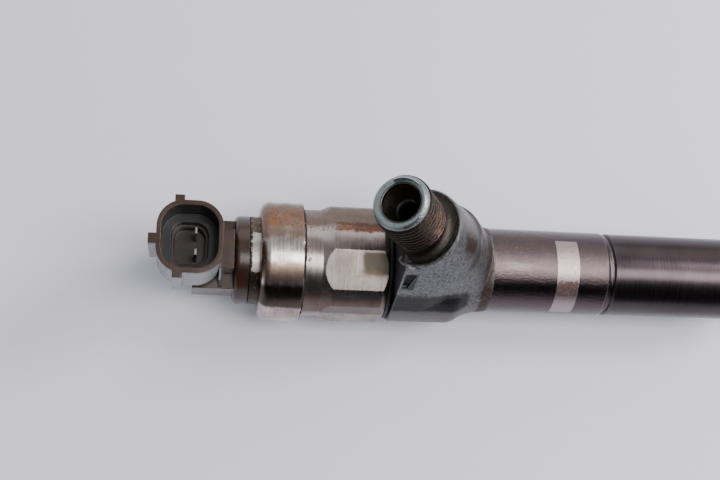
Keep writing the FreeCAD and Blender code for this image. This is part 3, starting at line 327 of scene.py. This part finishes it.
def nickelCaseSteel():
    # drawn steel with thin dull nickel that flakes off in dark dots, and painted shade on the lower side
    look = {
        "dark": "#9C978D", "light": "#C4C0B8", "blotch": 1.2, "marks": 0.4, "stretch": (1, 0.1, 0.1),
        "rough": (0.36, 0.5), "metal": 0.85, "grain": 0.5, "grainHeight": 0.03, "markHeight": 0.01,
        "round": 0.15,
        "stainsAndPaintedLight": [
            {"along": (-3, 0.5, 0.3), "turn": (-80, -26, 4), "grain": 1.6, "cover": 0.6, "edge": 0.12,
             "colour": "#5E4F3E", "rough": 0.6, "metal": 0.4, "seed": 1},
            {"along": (-3, 0.5, 0.3), "grain": 0.5, "cover": 0.36, "edge": 0.03,
             "colour": "#1C1410", "rough": 0.8, "metal": 0.0, "seed": 2},
            {"along": (-3.2, -1.7, 0.4), "grain": 1.1, "cover": 0.52, "edge": 0.04,
             "colour": "#2A1D18", "rough": 0.7, "metal": 0.0, "seed": 21},
            # painted shade on the case's lower side
            {"along": (-3, 0.5, 0.3), "turn": (24, 100, 4), "grain": 1.6, "cover": 0.7, "edge": 0.15,
             "colour": "#40352B", "rough": 0.4, "metal": 0.8, "seed": 3},
        ],
    }
    return stainedMetal("dull nickel case", look)


def plainMetal(name, dark, light, rough):
    # clean metal inside the injector: two close tones and fine marks round the axis
    look = {
        "dark": dark, "light": light, "blotch": 3.0, "marks": 0.3, "stretch": (1, 0.05, 0.05), "rough": rough,
        "metal": 1.0, "grain": 0.4, "grainHeight": 0.004, "markHeight": 0.006, "round": 0.1,
    }
    return stainedMetal(name, look)


flow = {"low": 0.3, "high": 0.7}  # the noise that counts as dark and as light in a moulding


def moulded(name, look):
    # injection-moulded plastic: even colour with faint flow tone, a very fine skin and soft edges
    material, tree, shader, coords = newMaterial(name)
    tone = addNode(tree, "ShaderNodeTexNoise", {
        "Vector": coords, "Scale": metre / look["blotch"], "Detail": 3})
    share = addNode(tree, "ShaderNodeMapRange", {
        "Value": tone, "From Min": flow["low"], "From Max": flow["high"]})
    colour = addNode(tree, "ShaderNodeMix", {
        0: share, 6: linear(look["dark"]), 7: linear(look["light"])}, data_type="RGBA")
    rough = addNode(tree, "ShaderNodeMapRange", {
        "Value": tone, "From Min": flow["low"], "From Max": flow["high"],
        "To Min": look["rough"][0], "To Max": look["rough"][1]})
    if "stainsAndPaintedLight" in look:
        colour, rough = addStainsAndPaintedLight(tree, coords, {**look, "metal": 0.0}, colour, rough, 0.0)[:2]
    skin = addNode(tree, "ShaderNodeTexNoise", {
        "Vector": coords, "Scale": metre / look["skin"], "Detail": 3})
    rounded = addNode(tree, "ShaderNodeBevel", {"Radius": look["round"] * mm}, samples=4)
    bump = addNode(tree, "ShaderNodeBump", {
        "Height": skin, "Strength": 1, "Distance": look["deep"] * mm, "Normal": rounded})
    feed(tree, shader, {"Base Color": colour, "Roughness": rough, "IOR": look["ior"], "Normal": bump})
    return material


def paint(node, material):
    nodes[node].data.materials.clear()
    nodes[node].data.materials.append(material)


print("materials")
nutSteel = platedNutSteel()
forging = forgedSteel("phosphated forging", 0.7)
oiledThread = forgedSteel("oiled inlet thread", 0.12)
oxideSteel = oxideNutSteel()
caseNickel = nickelCaseSteel()
# glass-filled nylon of the plug: painted shade inside the socket, a painted pale reflection on the -Y
# walls, a seam along the neck
brownNylon = moulded("moulded brown nylon", {
    "dark": "#2B1C13", "light": "#3B281B", "rough": (0.2, 0.3), "ior": 1.47, "blotch": 6.0, "skin": 0.6,
    "deep": 0.012, "round": 0.35,
    "stainsAndPaintedLight": [
        # painted shade inside the plug's socket; the floor below is kept near the plastic's own brown
        {"along": (-23.4, -10.6, 0.15), "side": (-7.3, 7.3, 0.1), "height": (8, 26.2, 0.4), "grain": 3.0,
         "cover": 1.2, "edge": 0.1, "colour": "#0A0906", "rough": 0.36, "metal": 0.0, "seed": 1},
        {"along": (-21.2, -12.8, 0.15), "side": (-5.0, 5.0, 0.1), "height": (8, 17.9, 0.3), "grain": 3.0,
         "cover": 1.2, "edge": 0.1, "colour": "#33211B", "rough": 0.3, "metal": 0.0, "seed": 1},
        # painted reflection: a pale haze on the walls facing -Y
        {"along": (-27, -9.3, 0.2), "side": (-11, -1.5, 0.5), "height": (8.5, 25.3, 0.5),
         "facing": (-2, -0.45, 0.2), "grain": 1.5, "cover": 0.85, "edge": 0.1,
         "colour": "#A9AEB6", "rough": 0.3, "metal": 0.0, "strength": 0.45, "seed": 2},
        {"along": (-9.4, -3.2, 0.1), "side": (-0.12, 0.12, 0.05), "grain": 3.0, "cover": 1.2, "edge": 0.1,
         "colour": "#100B08", "rough": 0.5, "metal": 0.0},
    ]})
# nitrile rubber, matt and nearly black
blackRubber = moulded("moulded black rubber", {
    "dark": "#0B0B0B", "light": "#141312", "rough": (0.5, 0.62), "ior": 1.52, "blotch": 2.0, "skin": 0.4,
    "deep": 0.02, "round": 0.1})
# bobbin nylon, black with a dull skin
blackNylon = moulded("moulded black bobbin nylon", {
    "dark": "#101010", "light": "#1A1A1A", "rough": (0.45, 0.55), "ior": 1.53, "blotch": 3.0, "skin": 0.5,
    "deep": 0.01, "round": 0.1})
# ground and lapped steels mirror more sharply, wire and sheet are duller, copper is pink and enamel brown
groundSteel = plainMetal("ground hardened steel", "#8C8C8E", "#A9A9AB", (0.18, 0.3))
springWire = plainMetal("drawn spring wire", "#5C5C60", "#77777A", (0.25, 0.35))
coreIron = plainMetal("pressed core iron", "#55565A", "#6A6B6E", (0.4, 0.5))
nozzleSteel = plainMetal("ground nozzle steel", "#6F6F72", "#8A8A8C", (0.2, 0.32))
tinned = plainMetal("dulled tinned contact", "#7E7B76", "#989590", (0.25, 0.35))
softCopper = plainMetal("soft copper washer", "#B06A48", "#C98562", (0.3, 0.42))
windingCopper = plainMetal("enamelled copper winding", "#7A3F22", "#9A5530", (0.25, 0.35))
lappedSteel = plainMetal("lapped ball steel", "#B9B9BB", "#C9C9CB", (0.06, 0.1))

finishes = {
    "connector_housing": brownNylon, "terminal_blades": tinned, "solenoid_case": caseNickel,
    "solenoid_nut": nutSteel, "stator_core": coreIron, "coil_bobbin": blackNylon,
    "coil_winding": windingCopper, "armature": coreIron, "armature_spring": springWire,
    "valve_ball": lappedSteel, "armature_guide": groundSteel, "lift_shim": groundSteel,
    "case_o_ring": blackRubber, "nut_o_ring": blackRubber, "valve_clamp_nut": groundSteel,
    "valve_body": groundSteel, "injector_body": forging, "inlet_edge_filter": groundSteel,
    "command_piston": groundSteel, "spring_shim": groundSteel, "nozzle_spring": springWire,
    "pressure_pin": groundSteel, "distance_piece": groundSteel, "dowel_pins": groundSteel,
    "nozzle_body": nozzleSteel, "nozzle_needle": nozzleSteel, "nozzle_nut": oxideSteel,
    "sealing_washer": softCopper,
}
for node, finish in finishes.items():
    paint(node, finish)


print("table")
# matt laminate: pale blue-grey with a faint cloudiness
table = {"size": 3000, "middle": -70, "top": -14.9, "colour": "#DBDAE4", "shade": "#D6D5DF", "cloud": 60,
         "rough": 0.6}
bm = bmesh.new()
bmesh.ops.create_grid(bm, x_segments=1, y_segments=1, size=table["size"] / 2 * mm)
bmesh.ops.translate(bm, vec=Vector((table["middle"], 0, table["top"])) * mm, verts=bm.verts)
tableMesh = bpy.data.meshes.new("table")
bm.to_mesh(tableMesh)
bm.free()
tableTop = bpy.data.objects.new("table", tableMesh)
bpy.context.scene.collection.objects.link(tableTop)
laminate, tree, shader, coords = newMaterial("pale laminate table")
cloud = addNode(tree, "ShaderNodeTexNoise", {
    "Vector": coords, "Scale": metre / table["cloud"], "Detail": 2})
mottle = addNode(tree, "ShaderNodeMix", {
    0: cloud, 6: linear(table["shade"]), 7: linear(table["colour"])}, data_type="RGBA")
feed(tree, shader, {"Base Color": mottle, "Roughness": table["rough"]})
tableMesh.materials.append(laminate)


print("inlet thread")
# heights are up the inlet's axis and the rest are radii; "runOut" and "rim" hold a height and a radius,
# then those where the full thread is reached; "tooth" is the flank's foot and the crest's two ends, as
# shares of the pitch
thread = {
    "pitch": 1.5, "crest": 7.0, "valley": 6.08, "inner": 5.5, "tooth": (0.25, 0.5625, 0.6875),
    "from": 32.4, "turns": 8.6, "steps": 72,
    "runOut": (32.6, 6.35, 33.2, 7.0), "undercut": 0.3, "rim": (45.65, 6.3, 44.75, 7.0),
}
inletTurned = inletAxis.to_track_quat("Z", "Y").to_matrix().to_4x4()
inletPlace = Matrix.Translation(Vector((inlet["root"] * mm, 0, 0))) @ inletTurned


def tidyShell(bm, sharp=28):
    # smooth faces with crisp edges wherever the surface turns by more than sharp degrees
    for face in bm.faces:
        face.smooth = True
    for edge in bm.edges:
        if len(edge.link_faces) == 2:
            edge.smooth = edge.calc_face_angle(0) < math.radians(sharp)


def addPiece(name, bm, body, material):
    mesh = bpy.data.meshes.new(name)
    bm.to_mesh(mesh)
    bm.free()
    mesh.materials.append(material)
    piece = bpy.data.objects.new(name, mesh)
    bpy.context.scene.collection.objects.link(piece)
    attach(piece, body)
    return piece


def limitedRadius(s, r):
    # run-out at the foot of the thread and the lead-in chamfer at the rim
    footS, footR, startS, startR = thread["runOut"]
    if s < startS:
        slope = footR + (s - footS) / (startS - footS) * (startR - footR)
        r = min(r, max(footR - thread["undercut"], slope))
    rimS, rimR, edgeS, edgeR = thread["rim"]
    if s > edgeS:
        r = min(r, rimR + (rimS - s) / (rimS - edgeS) * (edgeR - rimR))
    return r


def makeThread():
    # one tooth outline carried up a helix: a metric thread's narrow crest and wider valley
    bm = bmesh.new()
    pitch, inner, valley, crest = (thread[key] for key in ("pitch", "inner", "valley", "crest"))
    foot, crestFrom, crestTo = (share * pitch for share in thread["tooth"])
    tooth = [(inner, 0), (valley, 0), (valley, foot), (crest, crestFrom), (crest, crestTo),
             (valley, pitch), (inner, pitch)]
    ring = [bm.verts.new((r * mm, 0, (thread["from"] + s) * mm)) for r, s in tooth]
    edges = [bm.edges.new((ring[i], ring[(i + 1) % len(ring)])) for i in range(len(ring))]
    count = int(thread["turns"] * thread["steps"])
    swept = bmesh.ops.spin(bm, geom=ring + edges, cent=(0, 0, 0), axis=(0, 0, 1), steps=count,
                           angle=math.radians(360) * thread["turns"],
                           dvec=(0, 0, pitch * mm / thread["steps"]), use_merge=False)
    last = [v for v in swept["geom_last"] if isinstance(v, bmesh.types.BMVert)]
    bmesh.ops.contextual_create(bm, geom=ring)
    bmesh.ops.contextual_create(bm, geom=last)
    for vert in bm.verts:
        r = math.hypot(vert.co.x, vert.co.y)
        wanted = limitedRadius(vert.co.z / mm, r / mm) * mm
        vert.co.x, vert.co.y = vert.co.x * wanted / r, vert.co.y * wanted / r
    bmesh.ops.recalc_face_normals(bm, faces=bm.faces)
    bmesh.ops.transform(bm, matrix=inletPlace, verts=bm.verts)
    tidyShell(bm)
    return bm


# the part of the spigot under the thread: its ends, the radius past which a point is on its outside,
# the core radii it is taken down to below and above the middle, and how near points are merged
core = {"from": 33, "to": 45, "outside": 6.9, "middle": 40, "lower": 6.0, "upper": 6.2, "merge": 0.002}


def makeForging():
    # the forging as the solid has it, with its plain thread cylinder taken down inside the thread
    bm = bmesh.new()
    bm.from_mesh(nodes["injector_body"].data)
    bmesh.ops.remove_doubles(bm, verts=bm.verts, dist=core["merge"] * mm)
    back = inletPlace.inverted()
    for vert in bm.verts:
        local = back @ vert.co
        r, s = math.hypot(local.x, local.y) / mm, local.z / mm
        if core["from"] < s < core["to"] and r > core["outside"]:
            wanted = core["lower"] if s < core["middle"] else core["upper"]
            local.x, local.y = local.x * wanted / r, local.y * wanted / r
            vert.co = inletPlace @ local
    tidyShell(bm)
    return bm


forged = addPiece("forged_body", makeForging(), "injector", forging)
threaded = addPiece("inlet_thread", makeThread(), "injector", oiledThread)
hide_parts("injector_body")
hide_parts("injector_body")


print("lights")
# strengths are the brightness of the panel's face beside a white wall of 1
lights = {
    "overhead": {"at": (160, -60, 600), "aim": (160, -60, 0), "size": (530, 240), "bright": 10.0},
    "key": {"at": (520, 300, 620), "aim": (-60, 0, 0), "size": (260, 260), "bright": 24.0},
    "far": {"at": (-60, 800, 420), "aim": (-60, 0, 0), "size": (1800, 560), "bright": 1.1},
}
for name, light in lights.items():
    lamp = bpy.data.lights.new(name, "AREA")
    lamp.shape = "RECTANGLE"
    lamp.size, lamp.size_y = (side * mm for side in light["size"])
    lamp.energy = light["bright"] * math.pi * lamp.size * lamp.size_y
    holder = bpy.data.objects.new(name, lamp)
    holder.location = Vector(light["at"]) * mm
    away = holder.location - Vector(light["aim"]) * mm
    holder.rotation_euler = away.to_track_quat("Z", "Y").to_euler()
    bpy.context.scene.collection.objects.link(holder)

# matt black card on the -Y side, seen only in reflections: it gives the metal its black band. It spans
# from one elevation to another, as seen from the axis
card = {"far": 900, "low": 1, "high": 62, "wide": 3000, "colour": "#1A1A1C", "rough": 0.9}
bm = bmesh.new()
bmesh.ops.create_grid(bm, x_segments=1, y_segments=1, size=0.5)
reach = card["far"] * mm
ends = [Vector((0, -reach * math.cos(math.radians(t)), reach * math.sin(math.radians(t))))
        for t in (card["low"], card["high"])]
for vert in bm.verts:
    end = ends[0] if vert.co.y < 0 else ends[1]
    vert.co = Vector((vert.co.x * card["wide"] * mm, end.y, end.z))
cardMesh = bpy.data.meshes.new("card")
bm.to_mesh(cardMesh)
bm.free()
darkCard = bpy.data.objects.new("card", cardMesh)
bpy.context.scene.collection.objects.link(darkCard)
blackCard, tree, shader, coords = newMaterial("black studio card")
feed(tree, shader, {"Base Color": linear(card["colour"]), "Roughness": card["rough"]})
cardMesh.materials.append(blackCard)
darkCard.visible_camera = darkCard.visible_diffuse = darkCard.visible_shadow = False

studio = {"colour": "#E9EAF4", "bright": 0.6}  # the even light from all round
world = bpy.data.worlds.new("studio")
bpy.context.scene.world = world
world.use_nodes = True
background = world.node_tree.nodes["Background"]
background.inputs["Color"].default_value = linear(studio["colour"])
background.inputs["Strength"].default_value = studio["bright"]


print("camera")
# "right", "up" and "back" are the directions of its picture's sides and of the way behind it
view = {
    "at": (-150.364, -54.0, 291.216), "right": (0.98878, 0.01339, 0.14878), "lens": 59.33,
    "up": (-0.04285, 0.97954, 0.19664), "back": (-0.14310, -0.20082, 0.96912),
    "sensor": 36, "near": 10, "far": 20000,
}
lens = bpy.data.cameras.new("camera")
lens.lens, lens.sensor_width = view["lens"], view["sensor"]
lens.clip_start, lens.clip_end = view["near"] * mm, view["far"] * mm
camera = bpy.data.objects.new("camera", lens)
turned = Matrix((view["right"], view["up"], view["back"])).transposed().to_4x4()
camera.matrix_world = Matrix.Translation(Vector(view["at"]) * mm) @ turned
bpy.context.scene.collection.objects.link(camera)
bpy.context.scene.camera = camera
